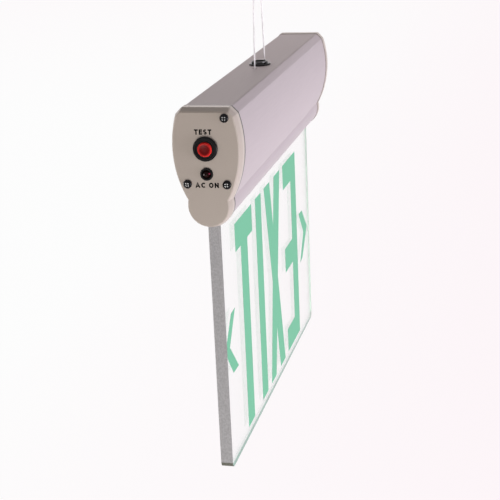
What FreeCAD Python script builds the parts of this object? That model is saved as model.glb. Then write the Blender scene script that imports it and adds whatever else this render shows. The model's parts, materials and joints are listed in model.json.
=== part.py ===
# Edge-lit emergency exit light that hangs from two fine wires.
# An extruded housing carries the electronics in its barrel and a clear legend panel in its nose.
# Millimetres. X runs along the housing towards the control end, Y is the thickness, Z is up.
# The origin is the centre of the housing's flat top, on the axis of the cable bushing.
import FreeCAD, Part
import math
import os
from FreeCAD import Vector

os.makedirs("parts", exist_ok=True)

# ---------------------------------------------------------------- housing profile
housing_length = 284.0
wall = 1.6
barrel_half = 21.8          # widest half width of the barrel
shoulder_inset = 7.0        # the flat top ends this far inside the barrel's widest point
shoulder_angle = 46.0       # slope of the shoulder below the flat top, degrees
barrel_radius = 68.4        # radius of the bulging sides
barrel_centre_z = -24.35    # height at which the barrel is widest
nose_radius = 13.9
nose_centre_z = -60.6
profile_round = 2.0         # rounding where the flat, the shoulder and the side meet
inner_round = 0.8

# webs, rails and ports inside the profile
web_drop = 6.1              # the web's top below the lower ports' axis
web_thickness = 1.6
rail_grip = 1.6             # width of board edge that a rail holds
rail_thickness = 1.0
rail_setback = 4.5          # the rails stop short of the housing's ends
port_radius = 3.0
port_hole_radius = 1.5
port_neck = 2.2             # width of the rib that joins a port to its wall
upper_port_inset = 2.16     # from the end of the flat top
upper_port_z = -5.3
lower_port_inset = 5.7      # from the barrel's outer side
lower_port_drop = 6.5       # below the middle of the board
jaw_thickness = 1.6

# ---------------------------------------------------------------- end caps
cap_depth = 11.0
cap_proud = 0.4             # the cap stands this far outside the profile
cap_bevel_depth = 4.6
cap_bevel_inset = 1.9
cap_edge_break = 0.5        # the bevel's own edges are broken by this much
cap_brow_drop = 0.7         # extra drop of the face's top edge
cap_face_thickness = 2.2
cap_wall = 2.6
spigot_reach = 4.0          # how far the locating arcs enter the profile
spigot_clearance = 0.2
spigot_thickness = 1.2
spigot_top_z = -11.0
spigot_bottom_z = -42.5
spigot_key_half = 7.0       # half width of the locating key under the flat top
boss_gap = 0.1
screw_radius = 1.45
screw_hole_radius = 1.6
screw_bite = 9.0            # length of thread in a port
screw_head_radius = 2.68
screw_head_height = 1.9
recess_width = 0.8
recess_span = 3.2
recess_depth = 1.0

# ---------------------------------------------------------------- legend panel
panel_thickness = 8.0
panel_end_clearance = 0.3
panel_lamp_gap = 0.7        # between the panel's upper edge and the lamps above it
panel_bottom_z = -245.0
panel_corner_radius = 4.0
slot_clearance = 0.35
pin_radius = 1.5
pin_length = 17.0
pin_depth = 5.0             # below the panel's upper edge
pin_end_inset = 32.0        # outer pins, from the housing's ends
pin_clearance = 0.05
tape_thickness = 0.25
tape_top_z = -66.0

# ---------------------------------------------------------------- light strip
strip_setback = 8.0         # the strip stops short of the housing's ends
strip_width = 10.0
strip_thickness = 1.0
led_pitch = 14.0
led_length = 3.5
led_width = 2.8
led_height = 1.6
strip_screw_radius = 1.0
strip_screw_clearance = 0.1
strip_screw_head_radius = 1.9
strip_screw_head_height = 1.2
lead_hole_radius = 3.0
lead_hole_setback = 14.0

# ---------------------------------------------------------------- board and battery
board_thickness = 1.6
rail_play = 0.2             # play above and below the board
board_side_play = 0.24
board_tail = 26.1           # bare length at the board's outer end
part_gap = 3.0              # clearance between neighbours along the board
rail_gap = 0.3              # clearance between the outer parts and the rails
board_hole_radius = 1.6
board_hole_half = 12.0
board_hole_inset = 8.0
terminal_size = (15.0, 15.0, 11.0)
terminal_overhang = 3.0     # from the board's inner end to the terminals
terminal_entry_radius = 1.7
terminal_entry_height = 3.6
terminal_entry_depth = 8.0
terminal_screw_radius = 1.8
terminal_screw_play = 0.1
terminal_screw_height = 3.5
terminal_screw_seat = 6.0
core_length = 36.0
core_height = 30.0
core_thickness = 14.0
core_limb = 6.0
coil_overhang = 5.0
coil_play = 0.1
coil_flange = 1.0
winding_inset = 0.7
coil_pin_pitch = 8.0
coil_pin_radius = 0.5
relay_size = (19.0, 15.5, 15.0)
relay_chamfer = 0.6
input_capacitor = (5.0, 17.0)       # radius and height
middle_capacitor = (4.0, 12.0)
output_capacitor = (3.2, 11.0)
capacitor_groove = 0.35
fuse_radius = 2.6
fuse_length = 20.0
fuse_lift = 3.4
fuse_clip_span = 14.0
fuse_clip_width = 4.0
fuse_clip_wall = 0.7
fuse_clip_mouth = 2.0       # half width of the cradle's open top
resistor_size = (22.0, 6.4, 6.4)
header_size = (5.0, 10.0, 7.0)
header_floor = 1.5
header_pin_radius = 0.4
diode_radius = 1.35
diode_length = 5.2
diode_pitch = 4.0
end_play = 0.2
cell_radius = 7.25
cell_length = 50.5
wrap_thickness = 0.1
tie_width = 4.0
tie_thickness = 0.7
tie_gap = 0.2
tie_pitch = 56.0

# ---------------------------------------------------------------- controls on the cap
button_z = -24.3
bezel_radius = 7.6
bezel_thickness = 1.9
bezel_lip = 1.1             # width of the bezel's raised outer ring
bezel_step = 0.5
switch_barrel_radius = 5.9
switch_hole_clearance = 0.1
button_radius = 4.5
button_clearance = 0.1
button_proud = 1.1          # the red cap stands this far past the bezel
button_dish = 0.5
button_skin = 1.5
button_skirt = 9.0
button_travel = 2.5
stem_radius = 2.0
stem_tip_radius = 1.2
guide_thickness = 2.0
front_chamber_depth = 12.0
rear_chamber_depth = 7.5
rear_wall_thickness = 1.5
rear_chamber_radius = 4.4
bridge_radius = 3.8
bridge_thickness = 0.9
bridge_rest_gap = 0.3
contact_gap = 0.2
contact_radius = 1.0
contact_offset = 2.6
lug_length = 7.0
lug_width = 2.2
lug_thickness = 0.6
spring_radius = 3.0
spring_wire_radius = 0.3
spring_turns = 4
nut_flats = 14.0
nut_thickness = 2.2

lamp_z = -40.0
lamp_bezel_radius = 4.0
lamp_bezel_thickness = 1.0
lamp_barrel_radius = 3.2
lamp_barrel_depth = 8.0
lamp_radius = 2.5
lamp_flange_radius = 2.9
lamp_proud = 0.9            # the lamp's dome stands this far past its bezel
lamp_lead_radius = 0.25
lamp_lead_offset = 1.27
lamp_clearance = 0.05
clip_thickness = 1.4
clip_width = 1.3

# ---------------------------------------------------------------- cable entry and suspension
bushing_flange_radius = 7.6
bushing_flange_height = 1.3
bushing_collar_radius = 5.9
bushing_collar_height = 2.7
bushing_notch_width = 2.4
bushing_notch_depth = 0.9
bushing_notches = 4
bushing_barrel_radius = 6.2
bushing_hole_clearance = 0.1
bushing_depth = 9.0
bushing_bore_radius = 4.2
locknut_flats = 15.0
locknut_thickness = 3.0

wire_radius = 0.5
wire_hole_radius = 1.65
wire_foot_x = 16.0          # where a wire passes through the flat top
wire_head_x = 10.8          # where its crimp begins
wire_head_z = 58.0
anchor_radius = 2.3
anchor_length = 5.0
anchor_seat_gap = 0.25
crimp_radius = 1.4
crimp_length = 7.0
loop_radius = 3.2
loop_sink = 1.2             # how deep the loop is held in its crimp

# ---------------------------------------------------------------- derived values
half_length = housing_length / 2.0
face_x = half_length + cap_depth
barrel_centre_y = barrel_half - barrel_radius
flat_half = barrel_half - shoulder_inset
slot_half = panel_thickness / 2.0 + slot_clearance
board_z = lamp_z            # the lamp straddles the board's edge
board_top = board_z + board_thickness / 2.0
board_bottom = board_z - board_thickness / 2.0


def barrel_half_width(z, inset=0.0):
    """Half width of the barrel at a height, on a surface that lies inset inside it."""
    return barrel_centre_y + math.sqrt((barrel_radius - inset) ** 2 - (z - barrel_centre_z) ** 2)


board_half_width = barrel_half_width(board_bottom, wall) - board_side_play
rail_inner_half = board_half_width - rail_grip
upper_port_y = flat_half - upper_port_inset
lower_port_z = board_z - lower_port_drop
lower_port_y = barrel_half_width(lower_port_z) - lower_port_inset
web_top_z = lower_port_z - web_drop
web_bottom_z = web_top_z - web_thickness
spigot_end = half_length - spigot_reach
board_outer_end = spigot_end - end_play

# parts of the control board: beside the rails, and as distances inwards from the board's outer end
part_edge = rail_inner_half - rail_gap
relay_y = part_edge - relay_size[1] / 2
resistor_y = resistor_size[1] / 2 - part_edge
fuse_y = fuse_radius + fuse_clip_wall - part_edge
input_capacitor_y = part_edge - input_capacitor[0]
middle_capacitor_y = part_edge - middle_capacitor[0]
output_capacitor_y = output_capacitor[0] - part_edge
diode_rows = (part_edge - diode_length / 2, part_edge - 1.5 * diode_length - part_gap)
relay_inset = board_tail + relay_size[0] / 2
resistor_inset = board_tail + resistor_size[0] / 2
output_inset = board_tail + max(relay_size[0], resistor_size[0]) + part_gap
diode_inset = output_inset + diode_radius
output_capacitor_inset = output_inset + output_capacitor[0]
core_inset = output_inset + diode_pitch + 2 * diode_radius + part_gap
transformer_inset = core_inset + core_length / 2
input_inset = core_inset + core_length + part_gap
fuse_inset = input_inset + fuse_length / 2
middle_capacitor_inset = input_inset + middle_capacitor[0]
input_capacitor_inset = middle_capacitor_inset + middle_capacitor[0] + part_gap + input_capacitor[0]
header_start = max(input_capacitor_inset + input_capacitor[0], fuse_inset + fuse_length / 2) + part_gap
header_inset = header_start + header_size[0] / 2
terminal_inset = header_start + header_size[0] + part_gap + terminal_size[0]
board_length = terminal_inset + terminal_overhang
board_inner_end = board_outer_end - board_length
tray_inner_end = board_inner_end - end_play
tray_outer_end = -spigot_end + end_play
strip_bottom = web_bottom_z - strip_thickness
strip_half = half_length - strip_setback
lead_hole_x = half_length - lead_hole_setback
panel_half = half_length - panel_end_clearance
panel_top_z = strip_bottom - led_height - panel_lamp_gap
pin_z = panel_top_z - pin_depth
jaw_top_z = pin_z - pin_radius
cap_inner_face = face_x - cap_face_thickness


# ---------------------------------------------------------------- geometry helpers
def box(x, y, z):
    """Box from (low, high) pairs."""
    return Part.makeBox(x[1] - x[0], y[1] - y[0], z[1] - z[0], Vector(x[0], y[0], z[0]))


def rod(radius, start, end):
    """Round bar between two points."""
    run = end.sub(start)
    return Part.makeCylinder(radius, run.Length, start, run)


def rod_x(radius, x, y, z):
    return rod(radius, Vector(x[0], y, z), Vector(x[1], y, z))


def rod_z(radius, x, y, z):
    return rod(radius, Vector(x, y, z[0]), Vector(x, y, z[1]))


def turned_x(profile, y, z):
    """Solid turned about an axis along X; the profile lists (x, radius) points."""
    points = [Vector(px, y, z + pr) for px, pr in profile]
    face = Part.Face(Part.makePolygon(points + points[:1]))
    return face.revolve(Vector(0, y, z), Vector(1, 0, 0), 360)


def turned_z(profile, x, y):
    """Solid turned about an axis along Z; the profile lists (radius, z) points."""
    points = [Vector(x + pr, y, pz) for pr, pz in profile]
    face = Part.Face(Part.makePolygon(points + points[:1]))
    return face.revolve(Vector(x, y, 0), Vector(0, 0, 1), 360)


def hexagon_bar(flats, start, direction, length):
    """Hexagonal bar that starts at a point."""
    corner = flats / math.sqrt(3)
    points = [Vector(corner * math.cos(math.radians(60 * i)),
                     corner * math.sin(math.radians(60 * i)), 0) for i in range(7)]
    bar = Part.Face(Part.makePolygon(points)).extrude(Vector(0, 0, length))
    bar.Placement = FreeCAD.Placement(start, FreeCAD.Rotation(Vector(0, 0, 1), direction))
    return bar


def fused(shapes):
    whole = shapes[0]
    if len(shapes) > 1:
        whole = whole.fuse(shapes[1:])
    return whole.removeSplitter()


def save(name, shapes):
    """Write one node as a group of its separate solids."""
    solids = []
    for shape in shapes if isinstance(shapes, list) else [shapes]:
        solids.extend(shape.Solids)
    bad = [s for s in solids if not s.isValid() or s.Volume <= 0]
    whole = solids[0] if len(solids) == 1 else Part.makeCompound(solids)
    whole.exportStep("parts/" + name + ".step")
    print(f"{name:24s} solids {len(solids):3d}  volume {whole.Volume:12.2f}  {'BAD' if bad else 'ok'}")


# ---------------------------------------------------------------- the shared outline
def outline(x, grow, drop=0.0, rounding=profile_round):
    """The housing's outline in the plane at x, moved outwards by grow; drop lowers its flat top."""
    slope = math.radians(shoulder_angle)
    out_y, out_z = math.sin(slope), math.cos(slope)

    def skeleton(offset, top):
        # the corner under the flat top, and the corner where the shoulder meets the side
        reach = flat_half * out_y + offset
        first = (reach - top * out_z) / out_y
        dy, dz = first - barrel_centre_y, top - barrel_centre_z
        along = dy * out_z - dz * out_y
        excess = dy * dy + dz * dz - (barrel_radius + offset) ** 2
        run = -along + math.sqrt(along * along - excess)
        return (first, top), (first + run * out_z, top - run * out_y)

    inner = grow - rounding
    upper, lower = skeleton(inner, inner - drop)
    lean = math.hypot(lower[0] - barrel_centre_y, lower[1] - barrel_centre_z)
    side_y = (lower[0] - barrel_centre_y) / lean
    side_z = (lower[1] - barrel_centre_z) / lean

    def spot(y, z):
        return Vector(x, y, z)

    def arc_point(centre, first, second):
        # middle of a rounding between two outward directions
        my, mz = first[0] + second[0], first[1] + second[1]
        size = math.hypot(my, mz)
        return spot(centre[0] + rounding * my / size, centre[1] + rounding * mz / size)

    flat_end = spot(upper[0], upper[1] + rounding)
    shoulder_start = spot(upper[0] + rounding * out_y, upper[1] + rounding * out_z)
    shoulder_end = spot(lower[0] + rounding * out_y, lower[1] + rounding * out_z)
    side_start = spot(lower[0] + rounding * side_y, lower[1] + rounding * side_z)

    # the crease where the side's circle meets the nose's circle
    side_r, nose_r = barrel_radius + grow, nose_radius + grow
    apart = math.hypot(barrel_centre_y, barrel_centre_z - nose_centre_z)
    uy, uz = -barrel_centre_y / apart, (nose_centre_z - barrel_centre_z) / apart
    along = (side_r ** 2 - nose_r ** 2 + apart ** 2) / (2 * apart)
    across = math.sqrt(side_r ** 2 - along ** 2)
    crease = spot(barrel_centre_y + along * uy - across * uz, barrel_centre_z + along * uz + across * uy)

    start_angle = math.atan2(side_start.z - barrel_centre_z, side_start.y - barrel_centre_y)
    end_angle = math.atan2(crease.z - barrel_centre_z, crease.y - barrel_centre_y)
    middle = (start_angle + end_angle) / 2.0
    side_middle = spot(barrel_centre_y + side_r * math.cos(middle),
                       barrel_centre_z + side_r * math.sin(middle))

    def mirrored(point):
        return spot(-point.y, point.z)

    right = [Part.Arc(flat_end, arc_point(upper, (0, 1), (out_y, out_z)), shoulder_start),
             Part.LineSegment(shoulder_start, shoulder_end),
             Part.Arc(shoulder_end, arc_point(lower, (out_y, out_z), (side_y, side_z)), side_start),
             Part.Arc(side_start, side_middle, crease)]
    left = [Part.Arc(mirrored(crease), mirrored(side_middle), mirrored(side_start)),
            Part.Arc(mirrored(side_start), mirrored(arc_point(lower, (out_y, out_z), (side_y, side_z))),
                     mirrored(shoulder_end)),
            Part.LineSegment(mirrored(shoulder_end), mirrored(shoulder_start)),
            Part.Arc(mirrored(shoulder_start), mirrored(arc_point(upper, (0, 1), (out_y, out_z))),
                     mirrored(flat_end))]
    nose = Part.Arc(crease, spot(0, nose_centre_z - nose_r), mirrored(crease))
    flat = Part.LineSegment(mirrored(flat_end), flat_end)
    edges = [curve.toShape() for curve in right + [nose] + left + [flat]]
    return Part.Wire(edges)


def prism(x, grow, rounding=profile_round):
    """Outline carried along X between two planes."""
    return Part.Face(outline(x[0], grow, 0.0, rounding)).extrude(Vector(x[1] - x[0], 0, 0))


# ---------------------------------------------------------------- housing
def port_centres():
    return [(side * y, z) for y, z in ((upper_port_y, upper_port_z), (lower_port_y, lower_port_z))
            for side in (1, -1)]


def housing_extrusion():
    """One extruded length: barrel, web, rails, screw ports and the jaws that guide the panel."""
    ends = (-half_length, half_length)
    outer = prism(ends, 0.0)
    inner = prism(ends, -wall, inner_round)
    everywhere = (-barrel_half, barrel_half)

    web = box(ends, everywhere, (web_bottom_z, web_top_z))
    rails_x = (-half_length + rail_setback, half_length - rail_setback)
    upper_rail = (board_top + rail_play, board_top + rail_play + rail_thickness)
    lower_rail = (board_bottom - rail_play - rail_thickness, board_bottom - rail_play)
    rails = [box(rails_x, side, level) for level in (upper_rail, lower_rail)
             for side in ((rail_inner_half, barrel_half), (-barrel_half, -rail_inner_half))]
    jaw_foot = nose_centre_z - nose_radius
    jaws = [box(ends, side, (jaw_foot, jaw_top_z))
            for side in ((slot_half, slot_half + jaw_thickness), (-slot_half - jaw_thickness, -slot_half))]
    ports = [rod_x(port_radius, ends, y, z) for y, z in port_centres()]
    necks = []
    for y, z in port_centres():
        if z == upper_port_z:
            necks.append(box(ends, (y - port_neck / 2, y + port_neck / 2), (z, 0)))
        else:
            reach = sorted((y, math.copysign(barrel_half, y)))
            necks.append(box(ends, reach, (z - port_neck / 2, z + port_neck / 2)))

    ribs = fused([web] + rails + jaws + ports + necks).common(outer)
    body = outer.cut(inner).fuse(ribs).removeSplitter()

    cutters = [rod_x(port_hole_radius, (ends[0] - 1, ends[1] + 1), y, z) for y, z in port_centres()]
    cutters.append(box((ends[0] - 1, ends[1] + 1), (-slot_half, slot_half), (jaw_foot - 1, jaw_top_z)))
    top = (-wall - 1, 1)
    cutters.append(rod_z(bushing_barrel_radius + bushing_hole_clearance, 0, 0, top))
    cutters += [rod_z(wire_hole_radius, side * wire_foot_x, 0, top) for side in (1, -1)]
    through_web = (web_bottom_z - 1, web_top_z + 1)
    cutters.append(rod_z(lead_hole_radius, lead_hole_x, 0, through_web))
    cutters += [rod_z(strip_screw_radius + strip_screw_clearance, x, 0, through_web)
                for x in strip_screw_places()]
    return body.cut(cutters)


# ---------------------------------------------------------------- end caps
def cap_screw_places(upper_side):
    """The three ports that a cap uses; upper_side picks the one under the shoulder."""
    return [(upper_side * upper_port_y, upper_port_z),
            (lower_port_y, lower_port_z), (-lower_port_y, lower_port_z)]


def end_cap(upper_side):
    """A cap moulded for the control end: skirt, bevel, thin face, locating arcs and screw bosses."""
    bevel_x = face_x - cap_bevel_depth
    skirt = prism((half_length, bevel_x), cap_proud)
    slope = (cap_bevel_inset - cap_edge_break) / (cap_bevel_depth - cap_edge_break)
    stations = [(bevel_x, cap_proud, 0.0),
                (bevel_x + cap_edge_break, cap_proud - 0.3 * cap_edge_break, 0.1 * cap_brow_drop),
                (face_x - cap_edge_break, cap_proud - slope * (cap_bevel_depth - 2 * cap_edge_break),
                 0.8 * cap_brow_drop),
                (face_x, cap_proud - cap_bevel_inset, cap_brow_drop)]
    shell = skirt
    for first, second in zip(stations, stations[1:]):
        band = Part.makeLoft([outline(*first), outline(*second)], True, True)
        shell = shell.fuse(band)
    shell = shell.removeSplitter()

    hollow = prism((half_length - 1, cap_inner_face), cap_proud - cap_wall, inner_round)
    shell = shell.cut(hollow)

    ring_x = (spigot_end, half_length + spigot_reach)
    ring_outer = -wall - spigot_clearance
    ring_core = prism(ring_x, ring_outer - spigot_thickness, inner_round)
    ring = prism(ring_x, ring_outer, inner_round).cut(ring_core)
    sides = box(ring_x, (-barrel_half, barrel_half), (spigot_bottom_z, spigot_top_z))
    key = box(ring_x, (-spigot_key_half, spigot_key_half), (upper_port_z, 0))
    arcs = ring.common(fused([sides, key]))

    bosses = [rod_x(port_radius, (half_length + boss_gap, cap_inner_face), y, z)
              for y, z in cap_screw_places(upper_side)]
    bosses = [boss.common(prism((half_length, face_x), cap_proud)) for boss in bosses]
    cap = shell.fuse(arcs.Solids + bosses).removeSplitter()
    holes = [rod_x(screw_hole_radius, (spigot_end, face_x + 1), y, z)
             for y, z in cap_screw_places(upper_side)]
    return cap.cut(holes)


def control_end_cap():
    controls = [rod_x(switch_barrel_radius + switch_hole_clearance, (half_length, face_x + 1), 0, button_z),
                rod_x(lamp_barrel_radius + switch_hole_clearance, (half_length, face_x + 1), 0, lamp_z)]
    return end_cap(1).cut(controls)


def turned_round(shape):
    """The same piece at the other end of the housing."""
    copy = shape.copy()
    copy.rotate(Vector(0, 0, 0), Vector(0, 0, 1), 180)
    return copy


def cap_screw(y, z):
    """Pan-head screw with a cross recess."""
    tip = half_length - screw_bite
    crown = face_x + screw_head_height
    rim = face_x + 0.45 * screw_head_height
    profile = [(tip, 0), (tip, 0.5 * screw_radius), (tip + screw_radius, screw_radius),
               (face_x, screw_radius), (face_x, screw_head_radius), (rim, screw_head_radius),
               (face_x + 0.8 * screw_head_height, 0.8 * screw_head_radius),
               (crown, 0.45 * screw_head_radius), (crown, 0)]
    screw = turned_x(profile, y, z)
    floor = crown - recess_depth
    cross = [box((floor, crown + 1), (y - a / 2, y + a / 2), (z - b / 2, z + b / 2))
             for a, b in ((recess_span, recess_width), (recess_width, recess_span))]
    return screw.cut(cross)


def cap_screws(upper_side):
    return [cap_screw(y, z) for y, z in cap_screw_places(upper_side)]


# ---------------------------------------------------------------- legend panel
def legend_panel():
    ends = (-panel_half, panel_half)
    sheet = box(ends, (-panel_thickness / 2, panel_thickness / 2), (panel_bottom_z, panel_top_z))
    corners = [edge for edge in sheet.Edges
               if abs(edge.BoundBox.YLength - panel_thickness) < 1e-6
               and edge.BoundBox.ZMax < panel_bottom_z + 1e-6]
    sheet = sheet.makeFillet(panel_corner_radius, corners)
    holes = [rod(pin_radius + pin_clearance, Vector(x, -panel_thickness, pin_z),
                 Vector(x, panel_thickness, pin_z)) for x in pin_places()]
    return sheet.cut(holes)


def pin_places():
    outer = half_length - pin_end_inset
    return [-outer, 0.0, outer]


def panel_pins():
    """Steel pins through the panel that hang it on the jaws."""
    return [rod(pin_radius, Vector(x, -pin_length / 2, pin_z), Vector(x, pin_length / 2, pin_z))
            for x in pin_places()]


def edge_tape(side):
    """Reflective tape on one upright edge of the panel."""
    reach = sorted((side * panel_half, side * (panel_half + tape_thickness)))
    return box(reach, (-panel_thickness / 2, panel_thickness / 2),
               (panel_bottom_z + panel_corner_radius, tape_top_z))


# ---------------------------------------------------------------- light strip
def led_places():
    reach = int((strip_half - led_length) // led_pitch)
    return [led_pitch * i for i in range(-reach, reach + 1)]


def strip_screw_places():
    places = led_places()
    outer = places[-1] - led_pitch / 2
    inner = outer - 6 * led_pitch
    return [-outer, -inner, inner, outer]


def light_strip():
    board = box((-strip_half, strip_half), (-strip_width / 2, strip_width / 2),
                (strip_bottom, web_bottom_z))
    holes = [rod_z(strip_screw_radius + strip_screw_clearance, x, 0, (strip_bottom - 1, web_bottom_z + 1))
             for x in strip_screw_places()]
    return board.cut(holes)


def strip_leds():
    """Side-by-side packages under the strip, each with a shallow lit well."""
    packages = []
    for x in led_places():
        package = box((x - led_length / 2, x + led_length / 2), (-led_width / 2, led_width / 2),
                      (strip_bottom - led_height, strip_bottom))
        well = Part.makeCone(0.38 * led_width, 0.3 * led_width, 0.3 * led_height,
                             Vector(x, 0, strip_bottom - led_height), Vector(0, 0, 1))
        packages.append(package.cut(well))
    return packages


def strip_screws():
    tip = web_top_z + 1.5
    head = strip_bottom - strip_screw_head_height
    profile = [(0, head), (0.6 * strip_screw_head_radius, head),
               (strip_screw_head_radius, head + 0.5 * strip_screw_head_height),
               (strip_screw_head_radius, strip_bottom), (strip_screw_radius, strip_bottom),
               (strip_screw_radius, tip), (0, tip)]
    return [turned_z(profile, x, 0) for x in strip_screw_places()]


# ---------------------------------------------------------------- control board
def along_board(inset):
    return board_outer_end - inset


def standing_block(size, inset, y, base):
    """Block of a given size that stands on the board or above it."""
    x = along_board(inset)
    return box((x - size[0] / 2, x + size[0] / 2), (y - size[1] / 2, y + size[1] / 2), (base, base + size[2]))


def control_board():
    board = box((board_inner_end, board_outer_end), (-board_half_width, board_half_width),
                (board_bottom, board_top))
    holes = [rod_z(board_hole_radius, x, y, (board_bottom - 1, board_top + 1))
             for x in (board_inner_end + board_hole_inset / 2, board_outer_end - board_hole_inset)
             for y in (-board_hole_half, board_hole_half)]
    return board.cut(holes)


def transformer_core():
    """Stack of E and I laminations standing on the board."""
    x, base, half = along_board(transformer_inset), board_top, core_length / 2
    stack = box((x - half, x + half), (-core_thickness / 2, core_thickness / 2), (base, base + core_height))
    level = (base + core_limb, base + core_height - core_limb)
    windows = [box(span, (-core_thickness, core_thickness), level)
               for span in ((x - half + core_limb, x - core_limb), (x + core_limb, x + half - core_limb))]
    return stack.cut(windows)


def transformer_coil():
    """Bobbin and winding round the middle limb, with its pins down to the board."""
    x = along_board(transformer_inset)
    base = board_top + core_limb + coil_play
    top = board_top + core_height - core_limb - coil_play
    outer_x = core_length / 2 - core_limb - coil_play
    outer_y = core_thickness / 2 + coil_overhang
    flanges = [box((x - outer_x, x + outer_x), (-outer_y, outer_y), level)
               for level in ((base, base + coil_flange), (top - coil_flange, top))]
    winding_x, winding_y = outer_x - winding_inset, outer_y - winding_inset
    winding = box((x - winding_x, x + winding_x), (-winding_y, winding_y),
                  (base + coil_flange, top - coil_flange))
    upright = [edge for edge in winding.Edges if edge.BoundBox.ZLength > 1]
    winding = winding.makeFillet(2.0, upright)
    pins = [rod_z(coil_pin_radius, x + along, side * (outer_y - 1.5), (board_top, base + coil_flange / 2))
            for along in (-coil_pin_pitch, 0.0, coil_pin_pitch) for side in (1, -1)]
    limb = box((x - core_limb - coil_play, x + core_limb + coil_play),
               (-core_thickness / 2 - coil_play, core_thickness / 2 + coil_play), (base - 1, top + 1))
    return fused(flanges + [winding] + pins).cut(limb)


def transfer_relay():
    block = standing_block(relay_size, relay_inset, relay_y, board_top)
    lid = [edge for edge in block.Edges if edge.BoundBox.ZMin > board_top + 1 and edge.BoundBox.ZLength < 0.1]
    return block.makeChamfer(relay_chamfer, lid)


def filter_capacitors():
    cans = []
    for inset, y, (radius, height) in ((input_capacitor_inset, input_capacitor_y, input_capacitor),
                                       (middle_capacitor_inset, middle_capacitor_y, middle_capacitor),
                                       (output_capacitor_inset, output_capacitor_y, output_capacitor)):
        top = board_top + height
        profile = [(0, board_top), (radius, board_top), (radius, board_top + 1.2),
                   (radius - capacitor_groove, board_top + 1.7), (radius, board_top + 2.2),
                   (radius, top - 0.5), (radius - 0.5, top), (radius - 1.0, top),
                   (radius - 1.2, top - 0.3), (0, top - 0.3)]
        cans.append(turned_z(profile, along_board(inset), y))
    return cans


def terminal_ways():
    pitch = terminal_size[1] / 3
    return [-pitch, 0.0, pitch]


def terminal_screw_x():
    return along_board(terminal_inset) + terminal_size[0] * 0.4


def terminal_block():
    """Three-way screw terminal for the supply, open towards the battery end."""
    face, width, base = along_board(terminal_inset), terminal_size[1], board_top
    body = box((face, face + terminal_size[0]), (-width / 2, width / 2), (base, base + terminal_size[2]))
    cuts = []
    for y in terminal_ways():
        cuts.append(rod_x(terminal_entry_radius, (face - 1, face + terminal_entry_depth), y,
                          base + terminal_entry_height))
        cuts.append(rod_z(terminal_screw_radius + terminal_screw_play, terminal_screw_x(), y,
                          (base + terminal_screw_seat, base + terminal_size[2] + 1)))
    return body.cut(cuts)


def terminal_screws():
    x, seat = terminal_screw_x(), board_top + terminal_screw_seat
    top = seat + terminal_screw_height
    screws = []
    for y in terminal_ways():
        slot = box((x - 0.3, x + 0.3), (y - 2, y + 2), (top - 0.8, top + 1))
        screws.append(rod_z(terminal_screw_radius, x, y, (seat, top)).cut(slot))
    return screws


def glass_fuse():
    x, y = along_board(fuse_inset), fuse_y
    return rod_x(fuse_radius, (x - fuse_length / 2, x + fuse_length / 2), y, board_top + fuse_lift)


def fuse_clips():
    """Two brass cradles under the fuse's end caps."""
    x, y = along_board(fuse_inset), fuse_y
    z = board_top + fuse_lift
    outer = fuse_radius + fuse_clip_wall
    clips = []
    for side in (-1, 1):
        place = x + side * fuse_clip_span / 2
        span = (place - fuse_clip_width / 2, place + fuse_clip_width / 2)
        cradle = box(span, (y - outer, y + outer), (board_top, z + 0.6 * fuse_radius))
        mouth = box(span, (y - fuse_clip_mouth, y + fuse_clip_mouth), (z, z + fuse_radius))
        clips.append(cradle.cut([rod_x(fuse_radius, span, y, z), mouth]))
    return clips


def charging_resistor():
    block = standing_block(resistor_size, resistor_inset, resistor_y, board_top)
    return block.makeChamfer(0.8, [edge for edge in block.Edges if edge.BoundBox.XLength > 1])


def battery_header():
    body = standing_block(header_size, header_inset, 0, board_top)
    inner = (header_size[0] - 2, header_size[1] - 2, header_size[2])
    floor = board_top + header_floor
    pins = [rod_z(header_pin_radius, along_board(header_inset), y, (floor, floor + header_size[2] - 3))
            for y in (-header_size[1] / 5, header_size[1] / 5)]
    return fused([body.cut(standing_block(inner, header_inset, 0, floor))] + pins)


def rectifier_diodes():
    z = board_top + diode_radius
    return [rod(diode_radius, Vector(along_board(inset), y - diode_length / 2, z),
                Vector(along_board(inset), y + diode_length / 2, z))
            for inset in (diode_inset, diode_inset + diode_pitch) for y in diode_rows]


# ---------------------------------------------------------------- battery
cell_space = cell_radius + wrap_thickness
pack_half_length = cell_length + wrap_thickness
pack_centre_x = (tray_inner_end + tray_outer_end) / 2


def battery_pack():
    """Four cells in one shrink sleeve: two side by side, two in line."""
    z = board_top + cell_space
    ends = (pack_centre_x - pack_half_length, pack_centre_x + pack_half_length)
    cells = [rod_x(cell_space, ends, side * cell_space, z) for side in (1, -1)]
    bridge = box(ends, (-cell_space, cell_space), (board_top, board_top + 2 * cell_space))
    return fused(cells + [bridge])


def pack_section(span, reach):
    """Rounded section of the pack, grown to a radius round each cell."""
    z = board_top + cell_space
    sides = [rod_x(reach, span, side * cell_space, z) for side in (1, -1)]
    return fused(sides + [box(span, (-cell_space, cell_space), (z - reach, z + reach))])


def tie_leg_y():
    """Where a tie meets the tray, on its way round the cells."""
    middle = cell_space + tie_gap + tie_thickness / 2
    return cell_space + math.sqrt(middle ** 2 - cell_space ** 2)


def battery_tray():
    """Plate that carries the pack and slides in the same rails as the board."""
    plate = box((tray_outer_end, tray_inner_end), (-board_half_width, board_half_width),
                (board_bottom, board_top))
    low = tie_leg_y() - tie_thickness / 2 - tie_gap
    high = tie_leg_y() + tie_thickness / 2 + tie_gap
    slots = []
    for place in tie_places():
        span = (place - tie_width / 2 - tie_gap, place + tie_width / 2 + tie_gap)
        slots += [box(span, reach, (board_bottom - 1, board_top + 1))
                  for reach in ((low, high), (-high, -low))]
    return plate.cut(slots)


def tie_places():
    return [pack_centre_x - tie_pitch / 2, pack_centre_x + tie_pitch / 2]


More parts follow.
